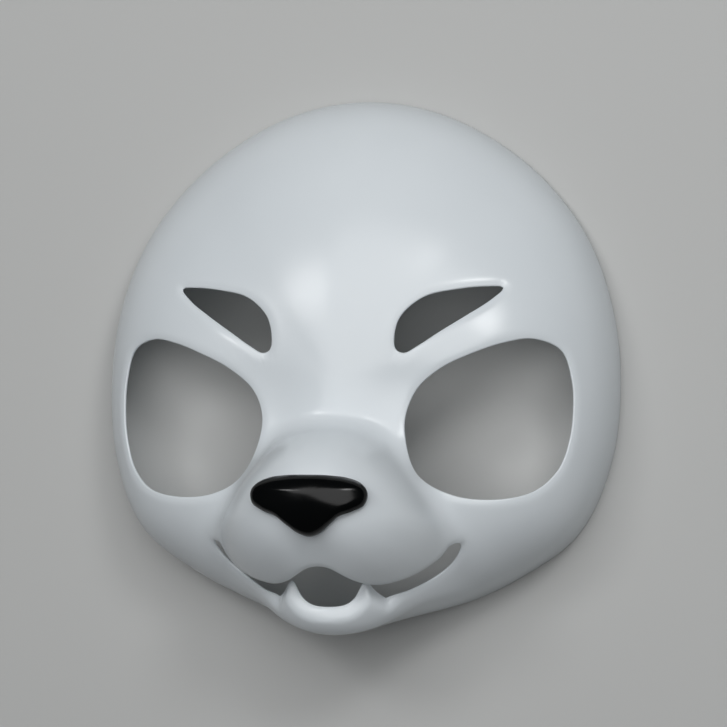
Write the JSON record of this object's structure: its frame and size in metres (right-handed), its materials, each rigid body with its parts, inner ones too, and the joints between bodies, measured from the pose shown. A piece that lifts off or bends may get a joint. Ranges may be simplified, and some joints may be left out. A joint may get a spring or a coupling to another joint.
{
  "type": "animal face mask",
  "caption": "Hollow rigid face mask with a domed forehead, eye and brow openings, a muzzle with a grinning fanged mouth and a dark nose pad, lying on its rim",
  "frame": {"origin": "Middle of the mask's width and height, in the plane of its rim, on which it lies", "axes": "+X across the face, +Y toward the crown of the head, +Z out of the face toward the nose"},
  "size_m": [0.2302, 0.2364, 0.1123],
  "materials": {
    "white_plastic": "gloss",
    "black_plastic": "gloss"
  },
  "bodies": {
    "root": {"face_shell": "white_plastic", "nose": "black_plastic"}
  },
  "joints": []
}
